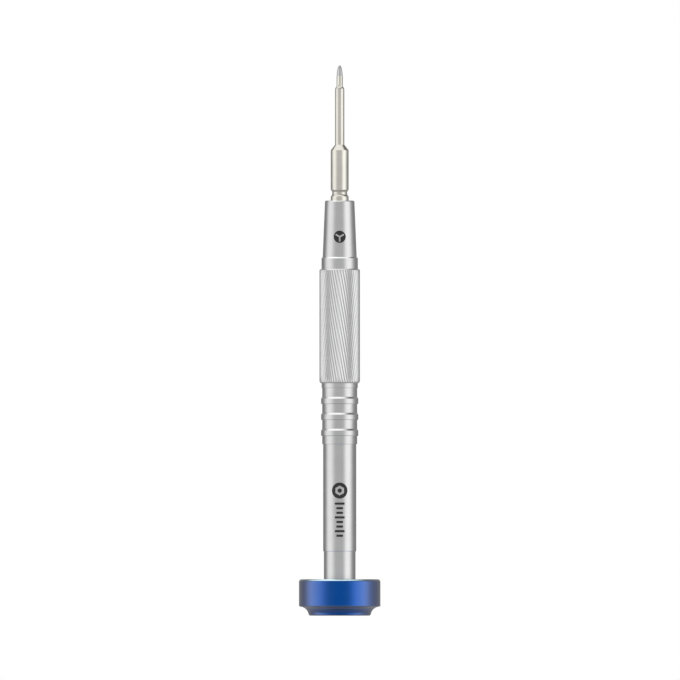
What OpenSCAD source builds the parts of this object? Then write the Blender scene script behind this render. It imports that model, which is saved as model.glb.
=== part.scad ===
// Precision screwdriver with a tri-wing bit, a one-piece turned handle and a
// finger cap that spins on a ball bearing.
//
// Millimetres. +Z runs along the tool's axis from the cap to the tip. The origin
// is the centre of the cap's flat end, which is what the tool stands on.
// -Y is the front, where the handle carries its printed marks.

/* [Cap] */
// Widest diameter of the spinning cap
cap_d = 18.1; // [17.5:0.1:20]
// Height of the cap from its flat end to its top face
cap_h = 8.1; // [7.9:0.1:9]
// Radius of the hollow cove between the flat end and the rim
cap_cove_r = 2; // [1.8:0.05:2.2]
// Bevel round the cap's top edge
cap_bevel = 0.6; // [0.3:0.1:0.8]
// Diameter of the disc let into the flat end
end_disc_d = 11; // [10:0.1:11.5]

/* [Handle] */
// Diameter of the neck that enters the cap
neck_d = 7.04; // [6.8:0.02:7.1]
// Length of the neck that shows above the cap
neck_len = 6.2; // [4:0.1:10]
// Diameter of the plain barrel
barrel_d = 7.36; // [7.2:0.02:7.6]
// Length of the plain barrel
barrel_len = 23.8; // [15:0.1:35]
// Diameter of the waist that carries the finger rings
waist_d = 7.78; // [7.7:0.02:7.9]
// Length of the waist
waist_len = 12.5; // [12.3:0.1:15]
// Diameter of the shoulder between the waist and the knurled grip
shoulder_d = 8.04; // [7.96:0.02:8.2]
// Length of that shoulder
shoulder_len = 1.05; // [0.5:0.05:2]
// Diameter over the crests of the knurled grip
grip_d = 9; // [8.6:0.1:9.6]
// Length of the knurled grip with its end bevels
grip_len = 25.45; // [18:0.05:32]
// Diameter of the collar above the grip
collar_d = 8.08; // [7.9:0.02:8.3]
// Length of the collar without its bevel
collar_len = 2.3; // [1:0.05:4]
// Diameter of the nose where it meets the collar
nose_base_d = 7.56; // [7.4:0.02:7.8]
// Diameter of the nose at its tip
nose_tip_d = 6.56; // [6.4:0.02:7]
// Length of the nose
nose_len = 12.6; // [11:0.1:16]

/* [Finger rings] */
// Number of raised rings on the waist
ring_count = 3; // [1:1:3]
// Diameter over a ring
ring_d = 8.28; // [8.1:0.02:8.5]
// Height of a ring with its bevels
ring_h = 1.6; // [1:0.1:2]
// Distance from one ring to the next
ring_pitch = 3.55; // [3:0.05:3.6]

/* [Bit] */
// Diameter of the round bar that the bit is turned from
bit_body_d = 3.98; // [3.9:0.02:4]
// Length of the thick body that shows above the nose
bit_body_len = 11.2; // [8:0.1:16]
// Diameter of the slim shaft
bit_shaft_d = 2.08; // [1.6:0.02:2.4]
// Length of the slim shaft
bit_shaft_len = 12.1; // [6:0.1:25]
// Diameter of the fluted rod at the tip
bit_rod_d = 1.44; // [1:0.02:1.5]
// Length of the fluted rod
bit_rod_len = 2.45; // [1:0.05:4]
// Length of the point beyond the fluted rod
bit_point_len = 2.45; // [1.5:0.05:3]
// Length of the bit that sits inside the handle
bit_shank_len = 14; // [12:0.5:14]
// Width across the flats of the hexagonal shank
bit_hex_af = 3.4; // [3.2:0.05:3.4]

/* [Hidden] */
$fn = 96;

// The ball bearing is a standard size, with sixteenth-inch balls. There is one
// node for each ball.
bearing_bore_d = 4;
bearing_d = 9;
bearing_w = 4;
ball_d = 1.588;
ball_count = 7;

// Gaps: between parts that turn against each other, between parts that slide
// together, and under parts that only rest on each other.
turning_gap = 0.13;
sliding_gap = 0.05;
resting_gap = 0.02;
// How far a cutting shape runs past the face that it cuts.
past = 1;

// Bevels and rounds on the handle.
neck_bevel = 0.1;
waist_bevel = 0.15;
grip_bevel_low = 0.6;
grip_bevel_high = 0.3;
collar_bevel_h = 0.25;
nose_round = 0.25;
ring_bevel_low = 0.15;
ring_bevel_high = 0.5;
ring_first = 1.85;

// Heights along the axis, from the flat end of the cap upwards.
barrel_z = cap_h + neck_len;
waist_z = barrel_z + barrel_len;
shoulder_z = waist_z + waist_len;
grip_z = shoulder_z + shoulder_len;
collar_z = grip_z + grip_len;
nose_z = collar_z + collar_len + collar_bevel_h;
nose_tip_z = nose_z + nose_len;

// The cap's lip above the bearing, and the stack inside the cap.
lip_h = 1.2;
bearing_top_z = cap_h - lip_h;
bearing_z = bearing_top_z - bearing_w;
bearing_mid_z = bearing_z + bearing_w / 2;
shim_h = 0.3;
neck_end_z = bearing_top_z + shim_h;
circlip_h = 0.7;
circlip_depth = 0.2;
end_disc_h = 1.1;
end_disc_inset = 0.15;
end_disc_z = end_disc_inset + end_disc_h;
foot_bevel = 0.25;
rim_bevel = 0.25;
rim_land = 0.15;

// The pivot screw, which holds the bearing's inner ring against the neck.
journal_r = bearing_bore_d / 2 - 0.005;
thread_r = 1.48;
tapped_r = 1.5;
tapped_len = 8;
thread_len = 6.4;
screw_head_d = 5;
screw_head_h = 1.3;
screw_hex_af = 1.5;
screw_hex_depth = 0.8;

// Inside the ball bearing.
ball_pitch_r = (bearing_bore_d + bearing_d) / 4;
race_r = ball_d / 2 + 0.016;
inner_land_r = 2.6;
outer_land_r = 3.9;
shield_seat_r = 4.15;
shield_seat_h = 0.5;
shield_h = 0.15;
clip_h = 0.25;
clip_r = 0.2;
clip_opening = 24;
cage_inner_r = 2.95;
cage_outer_r = 3.55;
cage_below = 1.25;
cage_above = 0.35;
pocket_r = ball_d / 2 + 0.05;

// The socket in the nose.
socket_r = 2.6;
sleeve_inset = 0.3;
pilot_len = 3;
pilot_room = 0.2;
magnet_r = 2.5;
magnet_h = 3;
drill_point_h = 1.2;
shank_end_z = nose_tip_z - bit_shank_len;
sleeve_end_z = shank_end_z - sliding_gap;
magnet_z = sleeve_end_z - magnet_h;

// The bit above the nose.
bit_collar_len = 0.8;
bit_groove_r = 0.98;
bit_groove_mid = 0.85;
bit_groove_depth = 0.34;
bit_cone_h = 1.2;
bit_shaft_bevel = 0.75;
point_r = bit_rod_d / 2 - 0.06;
point_flat_r = 0.06;
flute_count = 3;
flute_r = 0.4 * bit_rod_d;
flute_offset = 0.6 * bit_rod_d;
bit_cone_z = nose_tip_z + bit_body_len;
bit_shaft_z = bit_cone_z + bit_cone_h;
bit_shaft_end_z = bit_shaft_z + bit_shaft_len;
bit_rod_z = bit_shaft_end_z + bit_shaft_bevel;
bit_point_z = bit_rod_z + bit_rod_len;
bit_tip_z = bit_point_z + bit_point_len;

// Radius of the corners of a hexagon, from its width across the flats.
function hex_r(across_flats) = across_flats / sqrt(3);

// A ring from one radius to another, standing on height z.
module ring(inner_r, outer_r, z, h) {
    translate([0, 0, z])
        difference() {
            cylinder(r = outer_r, h = h);
            translate([0, 0, -past]) cylinder(r = inner_r, h = h + 2 * past);
        }
}

// A straight hexagonal prism standing on height z.
module hex_prism(across_flats, z, h) {
    translate([0, 0, z]) cylinder(r = hex_r(across_flats), h = h, $fn = 6);
}

// ---------------------------------------------------------------- the bit

// Half outline of the round parts of the bit, from the pilot to the fluted rod.
module bit_outline() {
    body_r = bit_body_d / 2;
    shaft_r = bit_shaft_d / 2;
    rod_r = bit_rod_d / 2;
    polygon([
        [0, nose_tip_z - pilot_len],
        [body_r, nose_tip_z - pilot_len],
        [body_r, bit_cone_z],
        [shaft_r, bit_shaft_z],
        [shaft_r, bit_shaft_end_z],
        [rod_r, bit_rod_z],
        [rod_r, bit_point_z],
        [0, bit_point_z],
    ]);
}

// Half outline of the point: an arc that leaves the rod upright and closes in.
module point_outline() {
    arc_r = (pow(point_r, 2) + pow(bit_point_len, 2)) / (2 * point_r);
    flat_drop = point_flat_r * bit_point_len / arc_r;
    translate([0, bit_point_z])
        intersection() {
            translate([point_r - arc_r, 0]) circle(r = arc_r, $fn = 360);
            square([point_r, bit_point_len - flat_drop]);
        }
}

module tri_wing_bit() {
    groove_z = nose_tip_z + bit_collar_len + bit_groove_mid;
    groove_centre_r = bit_body_d / 2 + bit_groove_r - bit_groove_depth;
    color("gainsboro") {
        difference() {
            rotate_extrude()
                difference() {
                    union() {
                        bit_outline();
                        point_outline();
                    }
                    translate([groove_centre_r, groove_z]) circle(r = bit_groove_r);
                }
            for (i = [0 : flute_count - 1])
                rotate([0, 0, i * 360 / flute_count - 90])
                    translate([flute_offset, 0, bit_rod_z + flute_r]) {
                        cylinder(r = flute_r, h = bit_tip_z - bit_rod_z);
                        sphere(r = flute_r);
                    }
        }
        intersection() {
            hex_prism(bit_hex_af, shank_end_z, bit_shank_len - pilot_len);
            rotate_extrude()
                polygon([
                    [0, shank_end_z],
                    [bit_hex_af / 2 - 0.3, shank_end_z],
                    [hex_r(bit_hex_af), shank_end_z + 0.6],
                    [hex_r(bit_hex_af), nose_tip_z],
                    [0, nose_tip_z],
                ]);
        }
    }
}

// ------------------------------------------------------------- the handle

// Half outline of one raised finger ring, standing on height z.
module finger_ring_outline(z) {
    top_r = ring_d / 2;
    root_r = waist_d / 2;
    polygon([
        [root_r - past, z],
        [top_r - ring_bevel_low, z],
        [top_r, z + ring_bevel_low],
        [top_r, z + ring_h - ring_bevel_high],
        [root_r, z + ring_h],
        [root_r - past, z + ring_h],
    ]);
}

// Half outline of the handle, from the neck's end inside the cap to the nose.
module handle_outline() {
    polygon([
        [0, neck_end_z],
        [neck_d / 2, neck_end_z],
        [neck_d / 2, barrel_z],
        [barrel_d / 2, barrel_z + neck_bevel],
        [barrel_d / 2, waist_z],
        [waist_d / 2, waist_z + waist_bevel],
        [waist_d / 2, shoulder_z],
        [shoulder_d / 2, shoulder_z + waist_bevel],
        [shoulder_d / 2, grip_z],
        [grip_d / 2, grip_z + grip_bevel_low],
        [grip_d / 2, collar_z - grip_bevel_high],
        [collar_d / 2, collar_z],
        [collar_d / 2, collar_z + collar_len],
        [nose_base_d / 2, nose_z],
        [nose_tip_d / 2, nose_tip_z - nose_round],
        [nose_tip_d / 2 - nose_round, nose_tip_z],
        [0, nose_tip_z],
    ]);
}

module handle_barrel() {
    color("silver")
        difference() {
            rotate_extrude() {
                handle_outline();
                for (i = [0 : ring_count - 1])
                    finger_ring_outline(waist_z + ring_first + i * ring_pitch);
            }
            // Bore for the sleeve and the magnet, with its drill point.
            translate([0, 0, magnet_z])
                cylinder(r = socket_r, h = nose_tip_z - magnet_z + past);
            translate([0, 0, magnet_z - drill_point_h])
                cylinder(r1 = 0, r2 = socket_r, h = drill_point_h);
            // Tapped hole for the pivot screw.
            translate([0, 0, neck_end_z - past])
                cylinder(r = tapped_r, h = tapped_len + past);
        }
}

module bit_socket_sleeve() {
    hex_end_z = nose_tip_z - pilot_len - pilot_room;
    color("slategray")
        difference() {
            translate([0, 0, sleeve_end_z])
                cylinder(r = socket_r, h = nose_tip_z - sleeve_inset - sleeve_end_z);
            translate([0, 0, hex_end_z])
                cylinder(r = bit_body_d / 2 + sliding_gap, h = pilot_len + past);
            hex_prism(bit_hex_af + 2 * sliding_gap, sleeve_end_z - past,
                      hex_end_z - sleeve_end_z + 2 * past);
        }
}

module bit_magnet() {
    edge = 0.2;
    color("lightsteelblue")
        translate([0, 0, magnet_z])
            rotate_extrude()
                polygon([
                    [0, 0],
                    [magnet_r - edge, 0],
                    [magnet_r, edge],
                    [magnet_r, magnet_h - edge],
                    [magnet_r - edge, magnet_h],
                    [0, magnet_h],
                ]);
}

module pivot_screw() {
    edge = 0.2;
    head_r = screw_head_d / 2;
    head_z = bearing_z - screw_head_h;
    end_z = neck_end_z + thread_len;
    color("dimgray")
        difference() {
            rotate_extrude()
                polygon([
                    [0, head_z],
                    [head_r - edge, head_z],
                    [head_r, head_z + edge],
                    [head_r, bearing_z],
                    [journal_r, bearing_z],
                    [journal_r, neck_end_z],
                    [thread_r, neck_end_z],
                    [thread_r, end_z - edge],
                    [thread_r - edge, end_z],
                    [0, end_z],
                ]);
            hex_prism(screw_hex_af, head_z - past, screw_hex_depth + past);
        }
}

module bearing_shim() {
    color("lightgray") ring(bearing_bore_d / 2, inner_land_r, bearing_top_z, shim_h);
}

// ------------------------------------------------------------ the bearing

module bearing_inner_ring() {
    color("lightslategray")
        rotate_extrude()
            difference() {
                translate([bearing_bore_d / 2, bearing_z])
                    square([inner_land_r - bearing_bore_d / 2, bearing_w]);
                translate([ball_pitch_r, bearing_mid_z]) circle(r = race_r);
            }
}

module bearing_outer_ring() {
    color("lightslategray")
        rotate_extrude()
            difference() {
                translate([outer_land_r, bearing_z])
                    square([bearing_d / 2 - outer_land_r, bearing_w]);
                translate([ball_pitch_r, bearing_mid_z]) circle(r = race_r);
                for (z = [bearing_z - past, bearing_top_z - shield_seat_h])
                    translate([outer_land_r - past, z])
                        square([shield_seat_r - outer_land_r + past,
                                shield_seat_h + past]);
            }
}

// Puts its children at the place of ball number i, counted from 1.
module at_ball(i) {
    rotate([0, 0, (i - 1) * 360 / ball_count])
        translate([ball_pitch_r, 0, bearing_mid_z]) children();
}

module bearing_ball(i) {
    color("whitesmoke") at_ball(i) sphere(d = ball_d);
}

module bearing_cage() {
    color("ivory")
        difference() {
            ring(cage_inner_r, cage_outer_r, bearing_mid_z - cage_below,
                 cage_below + cage_above);
            for (i = [1 : ball_count]) at_ball(i) sphere(r = pocket_r);
        }
}

// A shield is a thin ring with a short lip round its inner edge; inwards is +1
// where the balls lie above it and -1 where they lie below it.
module bearing_shield(seat_z, inwards) {
    lip = 0.12;
    inner_r = inner_land_r + 0.06;
    color("gainsboro")
        rotate_extrude() {
            translate([inner_r, inwards > 0 ? seat_z - shield_h : seat_z])
                square([shield_seat_r - sliding_gap - inner_r, shield_h]);
            translate([inner_r, inwards > 0 ? seat_z - shield_h : seat_z - lip])
                square([shield_h, shield_h + lip]);
        }
}

// The spring wire that snaps in over a shield, open at one side.
module shield_clip(z) {
    reach = shield_seat_r + past;
    half = clip_opening / 2;
    color("darkgray")
        difference() {
            ring(shield_seat_r - clip_r, shield_seat_r - resting_gap, z, clip_h);
            translate([0, 0, z - past])
                linear_extrude(height = clip_h + 2 * past)
                    polygon([
                        [0, 0],
                        reach * [cos(-half), sin(-half)],
                        reach * [cos(half), sin(half)],
                    ]);
        }
}

// -------------------------------------------------------------- the cap

// A snap ring for a bore, with two eyelets for pliers beside its opening.
module bearing_circlip() {
    outer_r = bearing_d / 2 + circlip_depth;
    band = 0.7;
    eyelet_r = 0.62;
    eyelet_hole_r = 0.3;
    eyelet_at = bearing_d / 2 - 0.72;
    opening = 26;
    color("darkslategray")
        translate([0, 0, bearing_z - circlip_h])
            linear_extrude(height = circlip_h)
                difference() {
                    union() {
                        difference() {
                            circle(r = outer_r);
                            circle(r = outer_r - band);
                            polygon([
                                [0, 0],
                                2 * outer_r * [cos(opening / 2), sin(opening / 2)],
                                2 * outer_r * [cos(opening / 2), -sin(opening / 2)],
                            ]);
                        }
                        for (side = [-1, 1])
                            rotate([0, 0, side * opening / 2])
                                translate([eyelet_at, side * 0.2])
                                    circle(r = eyelet_r);
                    }
                    for (side = [-1, 1])
                        rotate([0, 0, side * opening / 2])
                            translate([eyelet_at, side * 0.2])
                                circle(r = eyelet_hole_r);
                }
}

// Half outline of the cap's outside. The cove is a quarter circle that starts
// just inside the rim; a bevel crosses each of its ends, and the two bevels run
// on into the circle that cuts the cove.
module cap_outline() {
    rim_r = cap_d / 2;
    cove_at = rim_r - rim_land;
    foot_r = cove_at - cap_cove_r - foot_bevel;
    overrun = cap_cove_r / 3;
    difference() {
        polygon([
            [0, 0],
            [foot_r, 0],
            [foot_r + foot_bevel + overrun, foot_bevel + overrun],
            [rim_r - rim_bevel - overrun, cap_cove_r - overrun],
            [rim_r, cap_cove_r + rim_bevel],
            [rim_r, cap_h - cap_bevel],
            [rim_r - cap_bevel, cap_h],
            [0, cap_h],
        ]);
        translate([cove_at, 0]) circle(r = cap_cove_r);
    }
}

module cap_shell() {
    seat_r = bearing_d / 2;
    groove_z = bearing_z - circlip_h - resting_gap;
    color("mediumblue")
        rotate_extrude()
            difference() {
                cap_outline();
                translate([-past, -past])
                    square([end_disc_d / 2 + past, end_disc_z + past]);
                translate([-past, 0]) square([seat_r + past, bearing_top_z]);
                translate([-past, groove_z])
                    square([seat_r + circlip_depth + sliding_gap + past,
                            circlip_h + resting_gap]);
                translate([-past, 0])
                    square([neck_d / 2 + turning_gap + past, cap_h + past]);
            }
}

module cap_end_disc() {
    dish_depth = 0.35;
    dish_half = end_disc_d / 2 - 0.9;
    dish_r = (pow(dish_half, 2) + pow(dish_depth, 2)) / (2 * dish_depth);
    edge = 0.12;
    color("royalblue")
        rotate_extrude()
            intersection() {
                difference() {
                    translate([0, end_disc_inset])
                        polygon([
                            [0, 0],
                            [end_disc_d / 2 - edge, 0],
                            [end_disc_d / 2, edge],
                            [end_disc_d / 2, end_disc_h],
                            [0, end_disc_h],
                        ]);
                    translate([0, end_disc_inset + dish_depth - dish_r])
                        circle(r = dish_r, $fn = 360);
                }
                square([end_disc_d, end_disc_z]);
            }
}

tri_wing_bit();
handle_barrel();
bit_socket_sleeve();
bit_magnet();
pivot_screw();
bearing_shim();
bearing_inner_ring();
bearing_outer_ring();
for (i = [1 : ball_count])
    bearing_ball(i);
bearing_cage();
bearing_shield(bearing_top_z - shield_seat_h, -1);  // bearing_shield_top
bearing_shield(bearing_z + shield_seat_h, 1);  // bearing_shield_bottom
shield_clip(bearing_top_z - shield_seat_h + shield_h + resting_gap);  // shield_clip_top
shield_clip(bearing_z + shield_seat_h - shield_h - resting_gap - clip_h);  // shield_clip_bottom
bearing_circlip();
cap_shell();
cap_end_disc();
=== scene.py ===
"""Looks for a precision screwdriver with a spinning cap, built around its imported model.

Lengths inside the classes are in millimetres, and MM turns them into metres. +Z runs
along the tool from the cap's flat end to the tip, and -Y is the front, which carries
the marks. Every new piece is a grid of points worked out with numpy: rows that run
once round the tool's axis, or once round a mark's own centre.
"""

import logging
import math
from dataclasses import dataclass
from enum import Enum
from functools import cache

import bpy
import numpy as np
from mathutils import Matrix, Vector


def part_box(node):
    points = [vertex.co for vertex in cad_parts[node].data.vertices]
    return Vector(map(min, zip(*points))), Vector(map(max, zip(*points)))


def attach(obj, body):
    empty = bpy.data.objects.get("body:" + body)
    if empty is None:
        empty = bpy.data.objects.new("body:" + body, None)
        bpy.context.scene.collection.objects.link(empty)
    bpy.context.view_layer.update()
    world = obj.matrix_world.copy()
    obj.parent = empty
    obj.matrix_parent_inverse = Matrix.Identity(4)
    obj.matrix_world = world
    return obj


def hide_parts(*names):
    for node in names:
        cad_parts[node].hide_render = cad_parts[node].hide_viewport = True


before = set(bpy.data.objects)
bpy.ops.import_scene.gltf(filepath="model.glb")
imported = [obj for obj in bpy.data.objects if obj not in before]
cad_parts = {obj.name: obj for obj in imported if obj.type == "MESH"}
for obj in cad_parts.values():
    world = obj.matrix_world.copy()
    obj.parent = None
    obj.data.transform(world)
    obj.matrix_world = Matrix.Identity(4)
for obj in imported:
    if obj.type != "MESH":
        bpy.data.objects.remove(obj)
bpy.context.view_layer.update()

LOG = logging.getLogger("screwdriver")
MM = 0.001
TURN = 2 * math.pi
FRONT = -0.25 * TURN
SHARP_EDGE = math.radians(25)
# Per-point share of a finish's second colour: a painted highlight on chosen bevels, crests and the
# cap's top rounding, and faint wear on the cap's rim.
WEAR_AND_HIGHLIGHT = "wear_and_highlight"
HAIR = 0.01  # smallest step between two rows, in millimetres
PIN_R = 0.05  # radius at which a face stops before its pole, in millimetres
MARKS_PER_RADIAN = 1.5  # changes of a turned finish round the axis
SCRATCH_STRETCH = 40  # length of a polished finish's marks over their width
PATCHES_PER_MM = 0.35  # broad changes of a finish's colour and gloss
Colour = tuple[float, float, float]
Socket = bpy.types.NodeSocket


# ---- surfaces


class Ends(Enum):
    """How the first and the last row of a surface are closed."""

    POLES = "each by a fan to the middle of its row"
    JOINED = "by joining the last row to the first"


class Outline:
    """Half outline of a turned piece, as (radius, height) points in millimetres.

    The points run in order along the outline, and the piece is the surface that they
    sweep round the axis.
    """

    def __init__(self, radius: float, height: float) -> None:
        """Starts the outline at one point."""
        self.points: list[tuple[float, float]] = [(radius, height)]

    def to(self, *points: tuple[float, float]) -> "Outline":
        """Runs straight on to each point in turn and returns the outline."""
        self.points.extend(points)
        return self

    def arc(
        self, centre: tuple[float, float], radius: float, start: float, end: float, steps: int = 8
    ) -> "Outline":
        """Runs on along part of a circle: centre + radius * (cos a, sin a).

        Args:
            centre: The circle's centre, as radius and height.
            radius: The circle's own radius.
            start: First angle in degrees, where 0 points away from the axis and 90 up.
            end: Last angle in degrees.
            steps: Number of straight steps that the arc is made of.

        Returns:
            The outline itself.
        """
        angles = np.radians(np.linspace(start, end, steps + 1))
        self.points.extend(
            zip(centre[0] + radius * np.cos(angles), centre[1] + radius * np.sin(angles))
        )
        return self

    def rows(self, margin: float = 0.03) -> np.ndarray:
        """The outline's points, with two more close to the ends of every long stretch.

        The extra rows keep the smooth shading of a round edge from spreading along
        the straight wall beside it.

        Args:
            margin: How far from its end a long stretch gets its extra point.

        Returns:
            An array shaped (rows, 2) of radius and height.
        """
        points = np.array(self.points)
        moved = np.hypot(*np.diff(points, axis=0).T) > 1e-6
        points = points[np.concatenate([[True], moved])]
        steps = np.diff(points, axis=0)
        lengths = np.hypot(*steps.T)
        along = np.concatenate([[0.0], np.cumsum(lengths)])
        long = lengths > 4 * margin
        inward = steps[long] / lengths[long, None] * margin
        places = np.concatenate([along, along[:-1][long] + margin, along[1:][long] - margin])
        spread = np.concatenate([points, points[:-1][long] + inward, points[1:][long] - inward])
        return spread[np.argsort(places, kind="stable")]


def steps_round(columns: int) -> np.ndarray:
    """Angles once round in equal steps, in radians."""
    return TURN * np.arange(columns) / columns


def around(radii: np.ndarray, heights: np.ndarray, twist: np.ndarray | float = 0.0) -> np.ndarray:
    """Points at given radii round the axis: (r cos a, r sin a, z).

    The angle a runs once round in equal steps, plus each row's own twist.

    Args:
        radii: Radius of every point in millimetres, shaped (rows, columns).
        heights: Height of every row in millimetres, shaped (rows,).
        twist: Angle in radians added to every point of a row, shaped (rows,), or 0.

    Returns:
        Points in millimetres, shaped (rows, columns, 3).
    """
    rows, columns = radii.shape
    angles = steps_round(columns) + np.zeros((rows, 1)) + np.reshape(twist, (-1, 1))
    levels = np.broadcast_to(heights[:, None], radii.shape)
    return np.stack([radii * np.cos(angles), radii * np.sin(angles), levels], axis=-1)


def turned(outline: np.ndarray, columns: int) -> np.ndarray:
    """Points of an outline swept once round the axis: (r cos a, r sin a, z).

    Args:
        outline: Radius and height of every row, shaped (rows, 2).
        columns: Number of points in each row.

    Returns:
        Points in millimetres, shaped (rows, columns, 3).
    """
    return around(np.repeat(outline[:, :1], columns, axis=1), outline[:, 1])


def hexagon_radius(columns: int, across_flats: float) -> np.ndarray:
    """Radius of a hexagon at equal steps of angle: half its width over cos of the
    angle from the nearest flat's middle, with a corner at angle 0.

    Args:
        columns: Number of steps round, a multiple of 6.
        across_flats: Width across the flats in millimetres.

    Returns:
        The radii, shaped (columns,).
    """
    from_flat = np.mod(steps_round(columns), TURN / 6) - TURN / 12
    return across_flats / 2 / np.cos(from_flat)


def skin(
    name: str, rows: np.ndarray, ends: Ends, wear_and_highlight: np.ndarray | None = None
) -> bpy.types.Object:
    """Makes a closed mesh object from rows of points that each close on themselves.

    Neighbouring rows are joined by four-sided faces. All the faces are turned over if
    the volume they enclose, the sum of a . (b x c) / 6 over their triangles, comes out
    negative, so that they point outwards.

    Args:
        name: Name of the object and of its mesh.
        rows: Points in millimetres, shaped (rows, columns, 3).
        ends: How the first and the last row are closed.
        wear_and_highlight: Share of the finish's second colour at every point, from 0 to 1, shaped
            (rows, columns), or None for nowhere. It paints highlights, and on the cap's rim it marks
            wear.

    Returns:
        The new object, at the origin and linked to the scene.
    """
    count, columns = rows.shape[:2]
    points = rows.reshape(-1, 3) * MM
    index = np.arange(count * columns).reshape(count, columns)
    if ends is Ends.JOINED:
        index = np.concatenate([index, index[:1]])
    beside = np.roll(index, -1, axis=1)
    quads = np.stack([index[:-1], beside[:-1], beside[1:], index[1:]], axis=-1).reshape(-1, 4)
    fans = np.empty((0, 3), dtype=int)
    if ends is Ends.POLES:
        first, last = len(points), len(points) + 1
        points = np.concatenate([points, [rows[0].mean(axis=0) * MM, rows[-1].mean(axis=0) * MM]])
        low = np.stack([np.full(columns, first), beside[0], index[0]], axis=-1)
        high = np.stack([np.full(columns, last), index[-1], beside[-1]], axis=-1)
        fans = np.concatenate([low, high])
    triangles = points[np.concatenate([quads[:, [0, 1, 2]], quads[:, [0, 2, 3]], fans])]
    if np.einsum("ij,ij->", triangles[:, 0], np.cross(triangles[:, 1], triangles[:, 2])) < 0:
        quads, fans = quads[:, ::-1], fans[:, ::-1]

    mesh = bpy.data.meshes.new(name)
    corners = np.concatenate([quads.ravel(), fans.ravel()])
    starts = np.concatenate(
        [4 * np.arange(len(quads)), 4 * len(quads) + 3 * np.arange(len(fans))]
    )
    mesh.vertices.add(len(points))
    mesh.vertices.foreach_set("co", points.ravel())
    mesh.loops.add(len(corners))
    mesh.loops.foreach_set("vertex_index", corners)
    mesh.polygons.add(len(starts))
    mesh.polygons.foreach_set("loop_start", starts)
    mesh.update(calc_edges=True)
    mesh.shade_smooth()
    mesh.set_sharp_from_angle(angle=SHARP_EDGE)
    shares = np.zeros(len(points))
    if wear_and_highlight is not None:
        shares[: count * columns] = wear_and_highlight.ravel()
    mesh.attributes.new(WEAR_AND_HIGHLIGHT, "FLOAT", "POINT").data.foreach_set("value", shares)
    thing = bpy.data.objects.new(name, mesh)
    bpy.context.scene.collection.objects.link(thing)
    return thing


# ---- finishes


class Nodes:
    """A short way to add nodes to a material or world and join them up."""

    def __init__(self, tree: bpy.types.NodeTree) -> None:
        """Empties the tree and keeps it."""
        self.tree = tree
        tree.nodes.clear()

    def add(self, kind: str, **settings: object) -> bpy.types.Node:
        """Adds a node.

        Args:
            kind: The node's type name without its ShaderNode beginning.
            settings: Its properties by name.

        Returns:
            The new node.
        """
        node = self.tree.nodes.new("ShaderNode" + kind)
        for key, value in settings.items():
            setattr(node, key, value)
        return node

    def give(self, socket: Socket, value: object) -> None:
        """Links an input to another socket, or sets it to a plain value."""
        if isinstance(value, Socket):
            self.tree.links.new(value, socket)
        else:
            socket.default_value = value

    def feed(self, node: bpy.types.Node, **inputs: object) -> bpy.types.Node:
        """Sets or links a node's inputs.

        Args:
            node: The node.
            inputs: Input names, with _ for each space, and a value or a socket each.

        Returns:
            The node itself.
        """
        for key, value in inputs.items():
            self.give(node.inputs[key.replace("_", " ")], value)
        return node

    def maths(self, operation: str, *values: object) -> Socket:
        """Adds a Math node fed with numbers or sockets and returns its result."""
        node = self.add("Math", operation=operation)
        for socket, value in zip(node.inputs, values):
            self.give(socket, value)
        return node.outputs[0]

    def mix(self, share: Socket, *surfaces: Socket) -> Socket:
        """Mixes two surfaces by the share of the second and returns the result."""
        node = self.add("MixShader")
        for socket, part in zip(node.inputs, (share, *surfaces)):
            self.give(socket, part)
        return node.outputs[0]

    def end(self, kind: str, surface: Socket) -> None:
        """Ends the tree in an output node of the kind, showing the surface."""
        self.give(self.add(kind).inputs["Surface"], surface)

    def blend(self, share: Socket, *colours: object) -> Socket:
        """Mixes two colours.

        Args:
            share: The share of the second colour.
            colours: The two colours, each a socket or a linear colour.

        Returns:
            The mixed colour.
        """
        node = self.add("Mix", data_type="RGBA")
        self.tree.links.new(share, node.inputs["Factor"])
        ends = [socket for socket in node.inputs if socket.type == "RGBA"]
        for socket, colour in zip(ends, colours):
            linked = isinstance(colour, Socket)
            self.give(socket, colour if linked else (*colour, 1.0))
        return next(socket for socket in node.outputs if socket.type == "RGBA")

    def ramp(
        self, value: Socket, low: float, high: float, to_low: float, to_high: float
    ) -> Socket:
        """Eases a value from one range into another and holds it at both ends.

        Args:
            value: The value.
            low: Where the range starts.
            high: Where the range ends, which may be below low.
            to_low: The result at low.
            to_high: The result at high.

        Returns:
            The eased value.
        """
        node = self.add("MapRange", interpolation_type="SMOOTHSTEP")
        self.feed(node, Value=value, From_Min=low, From_Max=high, To_Min=to_low, To_Max=to_high)
        return node.outputs["Result"]


class Grain(Enum):
    """The way a finish was made, which sets the direction of its fine marks."""

    TURNED = "rings round the axis, from the lathe"
    POLISHED = "fine scratches along the axis"
    CAST = "an even, fine grain"


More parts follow.
